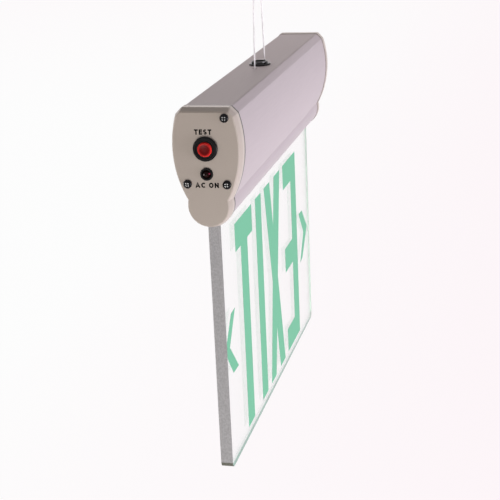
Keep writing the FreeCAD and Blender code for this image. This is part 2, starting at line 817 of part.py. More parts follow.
def battery_ties():
    """Nylon ties drawn round the cells and through the tray."""
    outer, inner = cell_space + tie_gap + tie_thickness, cell_space + tie_gap
    crown = board_top + cell_space + outer
    leg_outer, leg_inner = tie_leg_y() + tie_thickness / 2, tie_leg_y() - tie_thickness / 2
    foot = board_bottom - tie_gap / 2
    ties = []
    for place in tie_places():
        span = (place - tie_width / 2, place + tie_width / 2)
        hoop = pack_section(span, outer).cut(pack_section(span, inner))
        hoop = hoop.common(box(span, (-barrel_half, barrel_half), (board_top, crown)))
        stirrup = box(span, (-leg_outer, leg_outer), (foot - tie_thickness, board_top))
        stirrup = stirrup.cut(box(span, (-leg_inner, leg_inner), (foot, board_top)))
        head = box((span[0] - 0.5, span[1] + 0.5), (-3.0, 3.0), (crown - tie_thickness, crown + 3.0))
        ties.append(fused([hoop, stirrup, head]))
    return ties


# ---------------------------------------------------------------- test switch
bezel_front = face_x + bezel_thickness
button_front = bezel_front + button_proud
button_back = button_front - button_skirt
chamber_back = bezel_front - front_chamber_depth
guide_back = chamber_back - guide_thickness
rear_back = guide_back - rear_chamber_depth
switch_end = rear_back - rear_wall_thickness
bridge_front = guide_back - bridge_rest_gap
bridge_back = bridge_front - bridge_thickness
contact_front = bridge_back - button_travel - contact_gap


def test_switch_body():
    """Bezel, threaded barrel and the two chambers of a momentary push switch."""
    bore = button_radius + button_clearance
    profile = [(switch_end, 0), (switch_end, switch_barrel_radius - 0.5),
               (switch_end + 0.5, switch_barrel_radius),
               (face_x, switch_barrel_radius), (face_x, bezel_radius),
               (bezel_front - 0.6, bezel_radius), (bezel_front, bezel_radius - 0.5),
               (bezel_front, bezel_radius - 0.5 - bezel_lip),
               (bezel_front - bezel_step, bezel_radius - 0.8 - bezel_lip),
               (bezel_front - bezel_step, bore), (chamber_back, bore),
               (chamber_back, stem_radius + button_clearance), (guide_back, stem_radius + button_clearance),
               (guide_back, rear_chamber_radius), (rear_back, rear_chamber_radius), (rear_back, 0)]
    body = turned_x(profile, 0, button_z)
    for side in (1, -1):
        y = side * contact_offset
        body = body.cut(box((switch_end - 1, rear_back + 1), (y - lug_thickness / 2, y + lug_thickness / 2),
                            (button_z - lug_width / 2, button_z + lug_width / 2)))
    return body


def test_switch_nut():
    start = Vector(cap_inner_face - nut_thickness, 0, button_z)
    nut = hexagon_bar(nut_flats, start, Vector(1, 0, 0), nut_thickness)
    return nut.cut(rod_x(switch_barrel_radius, (half_length, face_x), 0, button_z))


def test_button():
    """Red cap with a dished front, hollow skirt and the stem that carries the contact bridge."""
    stem_end = bridge_back - 0.7
    roof = button_front - button_skin
    profile = [(stem_end, 0), (stem_end, stem_tip_radius), (bridge_front + 0.01, stem_tip_radius),
               (bridge_front + 0.01, stem_radius), (roof, stem_radius), (roof, button_radius - 0.8),
               (button_back, button_radius - 0.8), (button_back, button_radius),
               (button_front - 0.7, button_radius), (button_front - 0.2, button_radius - 0.25),
               (button_front, button_radius - 0.8), (button_front - 0.1, button_radius - 1.3),
               (button_front - button_dish, 1.4), (button_front - button_dish, 0)]
    return turned_x(profile, 0, button_z)


def contact_bridge():
    disc = rod_x(bridge_radius, (bridge_back, bridge_front), 0, button_z)
    return disc.cut(rod_x(stem_tip_radius + 0.02, (bridge_back - 1, bridge_front + 1), 0, button_z))


def return_spring():
    """Coil spring between the guide wall and the underside of the red cap."""
    start = chamber_back + spring_wire_radius + 0.05
    end = button_front - button_skin - spring_wire_radius - 0.05
    pitch = (end - start) / spring_turns
    path = Part.makeHelix(pitch, end - start, spring_radius)
    section = Part.Wire([Part.makeCircle(spring_wire_radius, Vector(spring_radius, 0, 0), Vector(0, 1, 0))])
    coil = Part.Wire(path).makePipeShell([section], True, True)
    coil.Placement = FreeCAD.Placement(Vector(start, 0, button_z),
                                       FreeCAD.Rotation(Vector(0, 0, 1), Vector(1, 0, 0)))
    return coil


def switch_contacts():
    """Two brass contacts with solder lugs through the rear wall."""
    contacts = []
    for side in (1, -1):
        y = side * contact_offset
        head = rod_x(contact_radius, (rear_back, contact_front), y, button_z)
        lug = box((switch_end - lug_length, rear_back), (y - lug_thickness / 2, y + lug_thickness / 2),
                  (button_z - lug_width / 2, button_z + lug_width / 2))
        eye = rod(0.5, Vector(switch_end - lug_length + 1.4, y - 1, button_z),
                  Vector(switch_end - lug_length + 1.4, y + 1, button_z))
        contacts.append(head.fuse(lug).removeSplitter().cut(eye))
    return contacts


# ---------------------------------------------------------------- supply lamp
lamp_bezel_front = face_x + lamp_bezel_thickness
lamp_barrel_end = face_x - lamp_barrel_depth


def lamp_holder():
    """Black bezel and barrel that clip the lamp into the cap."""
    bore = lamp_radius + lamp_clearance
    seat = lamp_flange_radius + lamp_clearance
    flange_x = lamp_barrel_end + 2.2
    profile = [(lamp_barrel_end, seat), (lamp_barrel_end, lamp_barrel_radius), (face_x, lamp_barrel_radius),
               (face_x, lamp_bezel_radius), (lamp_bezel_front - 0.4, lamp_bezel_radius),
               (lamp_bezel_front, lamp_bezel_radius - 0.5), (lamp_bezel_front, bore + 0.5),
               (lamp_bezel_front - 0.5, bore), (flange_x, bore), (flange_x, seat)]
    return turned_x(profile, 0, lamp_z)


def supply_lamp():
    """Five millimetre lamp with a domed front and a flange."""
    front = lamp_bezel_front + lamp_proud
    flange_front = lamp_barrel_end + 2.2 - lamp_clearance
    flange_back = flange_front - 1.0
    shoulder = front - lamp_radius
    dome = [(shoulder + lamp_radius * math.sin(math.radians(a)), lamp_radius * math.cos(math.radians(a)))
            for a in (15, 30, 45, 60, 75)]
    profile = [(flange_back, 0), (flange_back, lamp_flange_radius), (flange_front, lamp_flange_radius),
               (flange_front, lamp_radius), (shoulder, lamp_radius)] + dome + [(front, 0)]
    return turned_x(profile, 0, lamp_z)


def lamp_leads():
    """Two legs that straddle the board's edge."""
    back = lamp_barrel_end + 1.2 - lamp_clearance
    return [rod_x(lamp_lead_radius, (board_outer_end - 3.0, back), 0, lamp_z + side * lamp_lead_offset)
            for side in (1, -1)]


def lamp_clip():
    """Ring pushed over the barrel behind the cap's face."""
    span = (cap_inner_face - clip_thickness, cap_inner_face)
    return rod_x(lamp_barrel_radius + clip_width, span, 0, lamp_z).cut(
        rod_x(lamp_barrel_radius, (span[0] - 1, span[1] + 1), 0, lamp_z))


# ---------------------------------------------------------------- cable entry
def cable_bushing():
    """Black bushing with a low flange, a notched collar and a threaded barrel."""
    profile = [(bushing_bore_radius, -bushing_depth), (bushing_barrel_radius - 0.5, -bushing_depth),
               (bushing_barrel_radius, -bushing_depth + 0.5), (bushing_barrel_radius, 0),
               (bushing_flange_radius, 0), (bushing_flange_radius, bushing_flange_height - 0.5),
               (bushing_flange_radius - 0.6, bushing_flange_height),
               (bushing_collar_radius, bushing_flange_height),
               (bushing_collar_radius - 0.3, bushing_collar_height),
               (bushing_bore_radius + 0.4, bushing_collar_height),
               (bushing_bore_radius, bushing_collar_height - 0.6)]
    body = turned_z(profile, 0, 0)
    for i in range(bushing_notches):
        notch = box((bushing_collar_radius - bushing_notch_depth, bushing_collar_radius + 1),
                    (-bushing_notch_width / 2, bushing_notch_width / 2),
                    (bushing_flange_height, bushing_collar_height + 1))
        notch.rotate(Vector(0, 0, 0), Vector(0, 0, 1), 45 + 360 / bushing_notches * i)
        body = body.cut(notch)
    return body


def bushing_locknut():
    start = Vector(0, 0, -wall - locknut_thickness)
    nut = hexagon_bar(locknut_flats, start, Vector(0, 0, 1), locknut_thickness)
    nut.rotate(Vector(0, 0, 0), Vector(0, 0, 1), 30)
    return nut.cut(rod_z(bushing_barrel_radius, 0, 0, (-wall - locknut_thickness - 1, 0)))


# ---------------------------------------------------------------- suspension
def wire_direction(side):
    run = Vector(side * (wire_head_x - wire_foot_x), 0, wire_head_z)
    return run.normalize()


def wire_foot(side):
    """Top of the stop under the flat top, where the wire starts."""
    direction = wire_direction(side)
    drop = (wall + anchor_seat_gap) / direction.z
    return Vector(side * wire_foot_x, 0, 0).sub(direction * drop)


def wire_head(side):
    return Vector(side * wire_head_x, 0, wire_head_z)


def suspension_wire(side):
    return rod(wire_radius, wire_foot(side), wire_head(side))


def wire_stop(side):
    """Crimped stop that bears on the underside of the flat top."""
    top = wire_foot(side)
    return rod(anchor_radius, top.sub(wire_direction(side) * anchor_length), top)


def loop_centre(side):
    reach = crimp_length - loop_sink + loop_radius
    return wire_head(side).add(wire_direction(side) * reach)


def wire_loop(side):
    return Part.makeTorus(loop_radius, wire_radius, loop_centre(side), Vector(0, 1, 0))


def wire_crimp(side):
    base = wire_head(side)
    sleeve = rod(crimp_radius, base, base.add(wire_direction(side) * crimp_length))
    return sleeve.cut(wire_loop(side)).Solids[0]


# ---------------------------------------------------------------- all nodes
def main():
    save("housing_extrusion", housing_extrusion())
    save("control_end_cap", control_end_cap())
    save("plain_end_cap", turned_round(end_cap(1)))
    save("control_cap_screws", cap_screws(1))
    save("plain_cap_screws", [turned_round(screw) for screw in cap_screws(1)])

    save("legend_panel", legend_panel())
    save("panel_hanger_pins", panel_pins())
    save("control_edge_tape", edge_tape(1))
    save("plain_edge_tape", edge_tape(-1))
    save("light_strip", light_strip())
    save("strip_leds", strip_leds())
    save("strip_screws", strip_screws())

    save("control_board", control_board())
    save("transformer_core", transformer_core())
    save("transformer_coil", transformer_coil())
    save("transfer_relay", transfer_relay())
    save("filter_capacitors", filter_capacitors())
    save("terminal_block", terminal_block())
    save("terminal_screws", terminal_screws())
    save("glass_fuse", glass_fuse())
    save("fuse_clips", fuse_clips())
    save("charging_resistor", charging_resistor())
    save("battery_header", battery_header())
    save("rectifier_diodes", rectifier_diodes())
    save("battery_pack", battery_pack())
    save("battery_tray", battery_tray())
    save("battery_ties", battery_ties())

    save("test_switch_body", test_switch_body())
    save("test_switch_nut", test_switch_nut())
    save("test_button", test_button())
    save("contact_bridge", contact_bridge())
    save("return_spring", return_spring())
    save("switch_contacts", switch_contacts())
    save("lamp_holder", lamp_holder())
    save("supply_lamp", supply_lamp())
    save("lamp_leads", lamp_leads())
    save("lamp_clip", lamp_clip())

    save("cable_bushing", cable_bushing())
    save("bushing_locknut", bushing_locknut())
    for side, end in ((1, "control"), (-1, "plain")):
        save(end + "_side_wire", suspension_wire(side))
        save(end + "_side_wire_stop", wire_stop(side))
        save(end + "_side_wire_crimp", wire_crimp(side))
        save(end + "_side_wire_loop", wire_loop(side))


main()
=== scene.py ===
# Looks for an edge-lit exit light that hangs from two wires.
import json
import math

import bmesh
import bpy
from mathutils import Matrix, Vector


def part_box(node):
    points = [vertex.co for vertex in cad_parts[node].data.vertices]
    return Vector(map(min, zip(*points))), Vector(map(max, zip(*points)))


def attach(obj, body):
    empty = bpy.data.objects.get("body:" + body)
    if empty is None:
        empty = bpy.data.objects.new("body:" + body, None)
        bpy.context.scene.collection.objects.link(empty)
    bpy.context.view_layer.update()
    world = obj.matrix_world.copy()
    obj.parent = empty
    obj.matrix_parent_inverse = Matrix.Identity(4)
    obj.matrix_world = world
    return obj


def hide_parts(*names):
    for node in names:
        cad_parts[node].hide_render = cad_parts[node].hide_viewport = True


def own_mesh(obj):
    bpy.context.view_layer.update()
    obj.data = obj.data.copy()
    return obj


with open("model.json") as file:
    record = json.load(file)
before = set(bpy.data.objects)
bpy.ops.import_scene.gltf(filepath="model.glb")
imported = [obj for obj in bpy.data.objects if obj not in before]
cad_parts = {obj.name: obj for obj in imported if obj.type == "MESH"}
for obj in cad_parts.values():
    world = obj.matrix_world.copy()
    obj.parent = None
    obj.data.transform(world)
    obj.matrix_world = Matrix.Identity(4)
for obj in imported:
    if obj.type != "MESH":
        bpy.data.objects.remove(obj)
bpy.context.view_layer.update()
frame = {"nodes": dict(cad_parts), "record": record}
nodes = frame["nodes"]
mm = 0.001
weldGap = 0.000001                      # vertices nearer than this become one

print("camera")
cameraSet = {
    "place": (0.87222, 0.20431, 0.15274),
    "right": (-0.22838, 0.97264, -0.04249),
    "up": (-0.30988, -0.03125, 0.95026),
    "back": (0.92294, 0.23019, 0.30854),
    "lens": 91.27,
    "sensor": 36.0,
    "reach": 60,                         # metres, past the floor's far edge
}


def makeCamera():
    data = bpy.data.cameras.new("studioCamera")
    data.lens = cameraSet["lens"]
    data.sensor_width = cameraSet["sensor"]
    data.clip_end = cameraSet["reach"]
    camera = bpy.data.objects.new("studioCamera", data)
    turn = Matrix((cameraSet["right"], cameraSet["up"], cameraSet["back"])).transposed()
    camera.matrix_world = Matrix.Translation(cameraSet["place"]) @ turn.to_4x4()
    bpy.context.scene.collection.objects.link(camera)
    bpy.context.scene.camera = camera


makeCamera()

print("wires")
wireSet = {
    "foot": (0.01617, 0, -0.00185),     # top of the stop under the flat top
    "hole": (0.016, 0, 0),
    "head": (0.0108, 0, 0.058),         # where the crimp and loop begin
    "diameter": 0.001,
    "strands": 6,
    "strandRadius": 0.000167,
    "lay": 0.0055,                      # length of one turn of the strands
}


def routeCurve(name, points):
    curve = bpy.data.curves.new(name, "CURVE")
    curve.dimensions = "3D"
    curve.resolution_u = 64
    spline = curve.splines.new("NURBS")
    spline.points.add(len(points) - 1)
    for point, place in zip(spline.points, points):
        point.co = (*place, 1)
    spline.order_u = 3
    spline.use_endpoint_u = True
    return curve


def routePath(name, side):
    points = [(side * x, y, z) for x, y, z in (wireSet["foot"], wireSet["hole"], wireSet["head"])]
    holder = bpy.data.objects.new(name + "Route", routeCurve(name + "Route", points))
    line = bpy.data.meshes.new_from_object(holder)
    bpy.data.objects.remove(holder)
    return [v.co.copy() for v in line.vertices]


def strandedWire(side, name):
    path = routePath(name, side)
    run = (path[-1] - path[0]).normalized()
    across = run.cross(Vector((0, 1, 0))).normalized()
    beside = run.cross(across)
    reach = wireSet["diameter"] / 2 - wireSet["strandRadius"]
    curve = bpy.data.curves.new(name, "CURVE")
    curve.dimensions = "3D"
    curve.bevel_depth = wireSet["strandRadius"]
    curve.bevel_resolution = 1
    curve.use_fill_caps = True
    for strand in range(wireSet["strands"] + 1):
        spline = curve.splines.new("POLY")
        spline.points.add(len(path) - 1)
        out = reach if strand else 0          # the first strand is the core
        for point, centre in zip(spline.points, path):
            along = (centre - path[0]).length
            turn = 2 * math.pi * (along / wireSet["lay"] + strand / wireSet["strands"])
            aside = across * (out * math.cos(turn)) + beside * (out * math.sin(turn))
            point.co = (*(centre + aside), 1)
    twisted = bpy.data.objects.new(name + "Strands", curve)
    mesh = bpy.data.meshes.new_from_object(twisted)
    bpy.data.objects.remove(twisted)
    wire = linked(name, mesh)
    smoothed(wire)
    return wire, path, (path[-1] - path[0]).length


def linked(name, mesh):
    piece = bpy.data.objects.new(name, mesh)
    bpy.context.scene.collection.objects.link(piece)
    return piece


def smoothed(piece, angle=40):
    for face in piece.data.polygons:
        face.use_smooth = True
    piece.data.set_sharp_from_angle(angle=math.radians(angle))


def coloured(piece, material, body="housing"):
    piece.data.materials.clear()
    piece.data.materials.append(material)
    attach(piece, body)
    return piece


def mergedCopy(node, reshape=None):
    mesh = nodes[node].data.copy()
    bm = bmesh.new()
    bm.from_mesh(mesh)
    bmesh.ops.remove_doubles(bm, verts=bm.verts[:], dist=weldGap)
    if reshape:
        reshape(bm)
    bm.to_mesh(mesh)
    bm.free()
    return mesh


print("materials")


def startMaterial(name, colour, roughness, metallic=0.0, gloss=0.5):
    material = bpy.data.materials.new(name)
    material.use_nodes = True
    shader = material.node_tree.nodes["Principled BSDF"]
    shader.inputs["Base Color"].default_value = (*colour, 1)
    shader.inputs["Roughness"].default_value = roughness
    shader.inputs["Metallic"].default_value = metallic
    shader.inputs["Specular IOR Level"].default_value = gloss
    return material, shader


def objectPlace(tree, scale=(1, 1, 1), shift=(0, 0, 0)):
    place = tree.nodes.new("ShaderNodeTexCoord")
    mapping = tree.nodes.new("ShaderNodeMapping")
    mapping.inputs["Scale"].default_value = scale
    mapping.inputs["Location"].default_value = shift
    tree.links.new(place.outputs["Object"], mapping.inputs["Vector"])
    return mapping.outputs["Vector"]


def axisPlace(tree, axis, space="Object"):
    place = tree.nodes.new("ShaderNodeTexCoord")
    parts = tree.nodes.new("ShaderNodeSeparateXYZ")
    tree.links.new(place.outputs[space], parts.inputs[0])
    return parts.outputs[axis]


def mathNode(tree, operation, *values):
    node = tree.nodes.new("ShaderNodeMath")
    node.operation = operation
    for socket, value in zip(node.inputs, values):
        if isinstance(value, bpy.types.NodeSocket):
            tree.links.new(value, socket)
        else:
            socket.default_value = value
    return node.outputs[0]


def distanceTo(tree, place, point):
    away = tree.nodes.new("ShaderNodeVectorMath")
    away.operation = "DISTANCE"
    away.inputs[1].default_value = point
    tree.links.new(place, away.inputs[0])
    return away.outputs["Value"]


def mapped(tree, value, start=0.0, end=1.0, low=0.0, high=1.0):
    spread = tree.nodes.new("ShaderNodeMapRange")
    for name, number in zip(("From Min", "From Max", "To Min", "To Max"), (start, end, low, high)):
        spread.inputs[name].default_value = number
    tree.links.new(value, spread.inputs["Value"])
    return spread.outputs["Result"]


def ramped(tree, value, first, second, low=0.0, high=1.0):
    ramp = tree.nodes.new("ShaderNodeValToRGB")
    for element, position, colour in zip(ramp.color_ramp.elements, (low, high), (first, second)):
        element.position = position
        element.color = (*colour, 1)
    tree.links.new(value, ramp.inputs["Fac"])
    return ramp.outputs["Color"]


def mixed(tree, share, first, second):
    mix = tree.nodes.new("ShaderNodeMix")
    mix.data_type = "RGBA"
    tree.links.new(share, mix.inputs["Factor"])
    for socket, colour in ((mix.inputs["A"], first), (mix.inputs["B"], second)):
        if isinstance(colour, bpy.types.NodeSocket):
            tree.links.new(colour, socket)
        else:
            socket.default_value = (*colour, 1)
    return mix.outputs["Result"]


def objectNoise(tree, scale, stretch, detail=3.0):
    noise = tree.nodes.new("ShaderNodeTexNoise")
    noise.inputs["Scale"].default_value = scale
    noise.inputs["Detail"].default_value = detail
    tree.links.new(objectPlace(tree, stretch), noise.inputs["Vector"])
    return noise.outputs["Fac"]


def grain(material, shader, scale, strength, depth, stretch=(1, 1, 1), detail=3.0):
    tree = material.node_tree
    bump = tree.nodes.new("ShaderNodeBump")
    bump.inputs["Strength"].default_value = strength
    bump.inputs["Distance"].default_value = depth
    tree.links.new(objectNoise(tree, scale, stretch, detail), bump.inputs["Height"])
    tree.links.new(bump.outputs["Normal"], shader.inputs["Normal"])


mottleSpan = (0.35, 0.65)                   # the part of the noise in which one tint turns into the other


def mottle(material, shader, first, second, scale, stretch=(1, 1, 1)):
    tree = material.node_tree
    tint = ramped(tree, objectNoise(tree, scale, stretch), first, second, *mottleSpan)
    tree.links.new(tint, shader.inputs["Base Color"])
    return tint


def shade(colour, factor):
    return tuple(c * factor for c in colour)


def plainFinish(name, colour, roughness, metallic=0.0, gloss=0.5, scale=2500, strength=0.15,
                depth=0.00002, vary=0.06, stretch=(1, 1, 1)):
    material, shader = startMaterial(name, colour, roughness, metallic, gloss)
    mottle(material, shader, shade(colour, 1 - vary), shade(colour, 1 + vary), scale / 4, stretch)
    grain(material, shader, scale, strength, depth, stretch)
    return material


housingSet = {
    "colour": (0.575, 0.512, 0.535),
    "roughness": 0.48,
    "rubbed": (0.38, 0.46),               # range of roughness along the extrusion
    "gloss": 0.05,
}
capSet = {
    "colour": (0.575, 0.505, 0.45),
    "roughness": 0.32,
    "gloss": 0.3,
    "seam": (0.1436, 0.1439),             # line where a cap meets the housing; the cap nearer the housing than this is painted dark as shade in the gap
    "controlSeamPaintedShadow": 0.05,                  # painted shadow under the control cap, hardly any under the plain one
    "plainSeamPaintedShadow": 0.75,
}
printSet = {"colour": (0.125, 0.505, 0.295), "roughness": 0.5}
tapeSet = {"colour": (0.425, 0.427, 0.447), "roughness": 0.5, "gloss": 0.6}


def housingFinish():
    colour = housingSet["colour"]
    material, shader = startMaterial("satinAnodised", colour, housingSet["roughness"],
                                     gloss=housingSet["gloss"])
    mottle(material, shader, shade(colour, 0.985), shade(colour, 1.015), scale=900, stretch=(0.05, 1, 1))
    grain(material, shader, scale=5200, strength=0.12, depth=0.00001, stretch=(0.04, 1, 1))
    tree = material.node_tree
    low, high = housingSet["rubbed"]
    rubbed = mapped(tree, objectNoise(tree, 700, (0.05, 1, 1)), low=low, high=high)
    tree.links.new(rubbed, shader.inputs["Roughness"])
    return material


def capFinish(name, seamShade):
    colour = capSet["colour"]
    material, shader = startMaterial(name, colour, capSet["roughness"], gloss=capSet["gloss"])
    body = mottle(material, shader, shade(colour, 0.98), shade(colour, 1.02), scale=2600)
    grain(material, shader, scale=4200, strength=0.18, depth=0.00002)
    tree = material.node_tree
    # painted shade: the cap's colour turns dark at the line where it meets the housing
    pastSeam = mapped(tree, mathNode(tree, "ABSOLUTE", axisPlace(tree, "X")), *capSet["seam"])
    tree.links.new(mixed(tree, pastSeam, shade(colour, seamShade), body), shader.inputs["Base Color"])
    return material


def acrylicFinish():
    material, shader = startMaterial("clearAcrylic", (0.97, 1.0, 0.985), 0.0)
    shader.inputs["Transmission Weight"].default_value = 1.0
    shader.inputs["IOR"].default_value = 1.49
    # the faint waviness of cast sheet
    grain(material, shader, scale=14, strength=0.02, depth=0.0005, stretch=(1, 1, 0.4), detail=1.0)
    return material


def printFinish():
    colour = printSet["colour"]
    material, shader = startMaterial("greenPrint", colour, printSet["roughness"])
    mottle(material, shader, shade(colour, 0.985), shade(colour, 1.015), scale=1500)
    grain(material, shader, scale=6000, strength=0.1, depth=0.00001)
    return material


def tapeFinish():
    colour = tapeSet["colour"]
    material, shader = startMaterial("edgeTape", colour, tapeSet["roughness"], gloss=tapeSet["gloss"])
    mottle(material, shader, shade(colour, 0.84), shade(colour, 1.14), scale=1200, stretch=(1, 1, 0.7))
    grain(material, shader, scale=5000, strength=0.25, depth=0.00003)
    return material


def blackFinish(name, roughness, gloss):
    material, shader = startMaterial(name, (0.006, 0.006, 0.007), roughness, gloss=gloss)
    mottle(material, shader, (0.005, 0.005, 0.006), (0.008, 0.008, 0.009), scale=1400)
    grain(material, shader, scale=3000, strength=0.05, depth=0.00001)
    return material


screwSet = {
    "black": (0.008, 0.008, 0.009),
    "bare": (0.30, 0.30, 0.305),          # painted highlight: bright metal round the driver recess stands in for glints
    "roughness": 0.25,
    "gloss": 0.1,
    "places": ((0.01264, -0.0053), (0.0124, -0.0465), (-0.0124, -0.0465)),
    "reach": 0.0013,
    "crown": 0.15455,                     # only the crown of a head, further out than this, gets the painted glints
}


def screwFinish(name, side):
    material, shader = startMaterial(name, screwSet["black"], screwSet["roughness"], gloss=screwSet["gloss"])
    grain(material, shader, scale=3800, strength=0.12, depth=0.00001)
    tree = material.node_tree
    place = objectPlace(tree, (0, side, 1))       # the plain cap is the same mould turned round
    nearest = None
    for y, z in screwSet["places"]:
        away = distanceTo(tree, place, (0, y, z))
        nearest = mathNode(tree, "MINIMUM", nearest, away) if nearest else away
    within = mathNode(tree, "LESS_THAN", nearest, screwSet["reach"])
    outwards = mathNode(tree, "ABSOLUTE", axisPlace(tree, "X"))
    onCrown = mathNode(tree, "GREATER_THAN", outwards, screwSet["crown"])
    # painted highlight: the crown near each recess turns to bright metal as glints
    paintedGlint = mathNode(tree, "MULTIPLY", within, onCrown)
    tree.links.new(mixed(tree, paintedGlint, screwSet["black"], screwSet["bare"]), shader.inputs["Base Color"])
    tree.links.new(paintedGlint, shader.inputs["Metallic"])
    return material


buttonSet = {
    "centreZ": -0.0243,
    "radius": 0.0045,
    "dishPaintedShade": (0.185, 0.006, 0.007),        # darker middle, painted shade in the dish
    "rim": (0.82, 0.032, 0.028),
    "blend": (0.62, 0.9),                 # shares of the radius between which the dish turns into the rim
    "roughness": 0.3,
    "gloss": 0.08,
}


def buttonFinish():
    material, shader = startMaterial("redButton", buttonSet["rim"], buttonSet["roughness"],
                                     gloss=buttonSet["gloss"])
    tree = material.node_tree
    radius = buttonSet["radius"]
    place = objectPlace(tree, (0, 1 / radius, 1 / radius), (0, 0, -buttonSet["centreZ"] / radius))
    # painted shade: the middle of the dish is coloured darker than the rim
    tint = ramped(tree, distanceTo(tree, place, (0, 0, 0)), buttonSet["dishPaintedShade"], buttonSet["rim"],
                  *buttonSet["blend"])
    tree.links.new(tint, shader.inputs["Base Color"])
    grain(material, shader, scale=3600, strength=0.12, depth=0.00002)
    return material


lampSet = {
    "tints": ((0.006, 0.001, 0.001), (0.022, 0.002, 0.002)),
    "roughness": 0.08,
    "gloss": 0.06,
    "centreZ": -0.04,
    "glints": (                           # painted glints: a pale and a pink highlight painted into the lens colour
        ((-0.0015, -0.0002), 0.0007, (0.34, 0.30, 0.31)),
        ((0.0022, 0.0005), 0.0008, (0.62, 0.05, 0.14)),
    ),
}


def lampFinish():
    material, shader = startMaterial("tintedLamp", lampSet["tints"][1], lampSet["roughness"],
                                     gloss=lampSet["gloss"])
    tint = mottle(material, shader, *lampSet["tints"], scale=900)
    grain(material, shader, scale=1200, strength=0.03, depth=0.00001)
    tree = material.node_tree
    place = objectPlace(tree, (0, 1, 1))
    # painted glints mixed into the lens colour
    for (across, up), reach, colour in lampSet["glints"]:
        away = distanceTo(tree, place, (0, across, lampSet["centreZ"] + up))
        tint = mixed(tree, mapped(tree, away, reach, reach / 3), tint, colour)
    tree.links.new(tint, shader.inputs["Base Color"])
    return material


def glassFinish(name, colour):
    material, shader = startMaterial(name, colour, 0.03)
    shader.inputs["Transmission Weight"].default_value = 0.9
    grain(material, shader, scale=900, strength=0.03, depth=0.00001)
    return material


finishes = {
    "anodised_aluminium": housingFinish(),
    "grey_cap_plastic": capFinish("capPlastic", capSet["controlSeamPaintedShadow"]),
    "bright_steel": plainFinish("platedSteel", (0.55, 0.55, 0.56), 0.16, 1.0, scale=3000, strength=0.05),
    "clear_acrylic": acrylicFinish(),
    "edge_tape": tapeFinish(),
    "circuit_board": plainFinish("greenSolderMask", (0.012, 0.12, 0.045), 0.35),
    "white_board": plainFinish("whiteSolderMask", (0.78, 0.78, 0.75), 0.4),
    "led_package": plainFinish("lampPhosphor", (0.80, 0.72, 0.28), 0.3),
    "core_steel": plainFinish("coreLaminations", (0.13, 0.13, 0.14), 0.45, 0.8, scale=2600, strength=0.6,
                              depth=0.0001, vary=0.15, stretch=(0.1, 3, 0.1)),
    "winding_tape": plainFinish("windingTape", (0.62, 0.42, 0.04), 0.35),
    "black_plastic": blackFinish("satinBlack", 0.3, 0.08),
    "capacitor_sleeve": plainFinish("capacitorSleeve", (0.01, 0.015, 0.05), 0.25),
    "terminal_plastic": plainFinish("terminalPlastic", (0.03, 0.17, 0.09), 0.4),
    "fuse_glass": glassFinish("fuseGlass", (0.9, 0.93, 0.91)),
    "brass": plainFinish("brass", (0.66, 0.45, 0.16), 0.25, 1.0),
    "ceramic": plainFinish("ceramic", (0.74, 0.71, 0.64), 0.6),
    "battery_sleeve": plainFinish("batterySleeve", (0.02, 0.15, 0.05), 0.3),
    "fibre_plate": plainFinish("fibrePlate", (0.34, 0.17, 0.06), 0.5, scale=900, strength=0.2,
                               vary=0.12, stretch=(1, 0.2, 1)),
    "nylon": plainFinish("naturalNylon", (0.74, 0.74, 0.68), 0.45),
    "red_button": buttonFinish(),
    "red_lamp": lampFinish(),
    "spring_steel": plainFinish("springSteel", (0.5, 0.5, 0.52), 0.25, 1.0),
    "wire_steel": plainFinish("wireSteel", (0.93, 0.91, 0.92), 0.5, 0.4),
}

ownFinishes = {
    "cable_bushing": blackFinish("glossBlack", 0.12, 0.28),
    "plain_end_cap": capFinish("plainCapPlastic", capSet["plainSeamPaintedShadow"]),
    "control_cap_screws": screwFinish("blackenedScrew", 1),
    "plain_cap_screws": screwFinish("blackenedScrewPlainCap", -1),
}

for row in frame["record"]["subparts"]:
    node = nodes[row["node"]]
    node.data.materials.clear()
    node.data.materials.append(ownFinishes.get(row["node"]) or finishes[row["material_slot"]])

print("panel")
panelSet = {
    "edges": (
        ("polishedFoot", (0.06, 0.34, 0.23), 0.12, 1.0),      # green like the edge of glass
        ("silveredEnd", (0.47, 0.71, 0.57), 0.3, 1.0),        # silvered by its tape
        # painted shade: the rounded corner below the tape is coloured dark
        ("paintedShadeCorner", (0.12, 0.125, 0.095), 0.5, 0.0),
    ),
    "touch": 0.00004,                     # a face nearer than this to the foot or an end belongs to it
    "clear": 0.0001,                      # share by which the ends stand clear of their tapes
    "level": 0.5,                         # a corner's faces turn sideways less than this
}


def edgeFinish(name, colour, roughness, metallic):
    material, shader = startMaterial(name, colour, roughness, metallic)
    mottle(material, shader, shade(colour, 0.96), shade(colour, 1.04), scale=700, stretch=(0.3, 1, 0.3))
    grain(material, shader, scale=1800, strength=0.08, depth=0.00001)
    return material


def panelSlot(face, low, high, tapeFoot):
    # the clear sheet is 0, and the edges follow in panelSet's order
    if face.center.z - low.z < panelSet["touch"]:
        return 1
    atCorner = abs(face.normal.y) < panelSet["level"] and face.center.z < tapeFoot
    # the rounded corner below the tape gets the painted shade
    if atCorner and face.center.x > 0:
        return 3
    atEnd = min(high.x - face.center.x, face.center.x - low.x) < panelSet["touch"]
    return 2 if atCorner or atEnd else 0


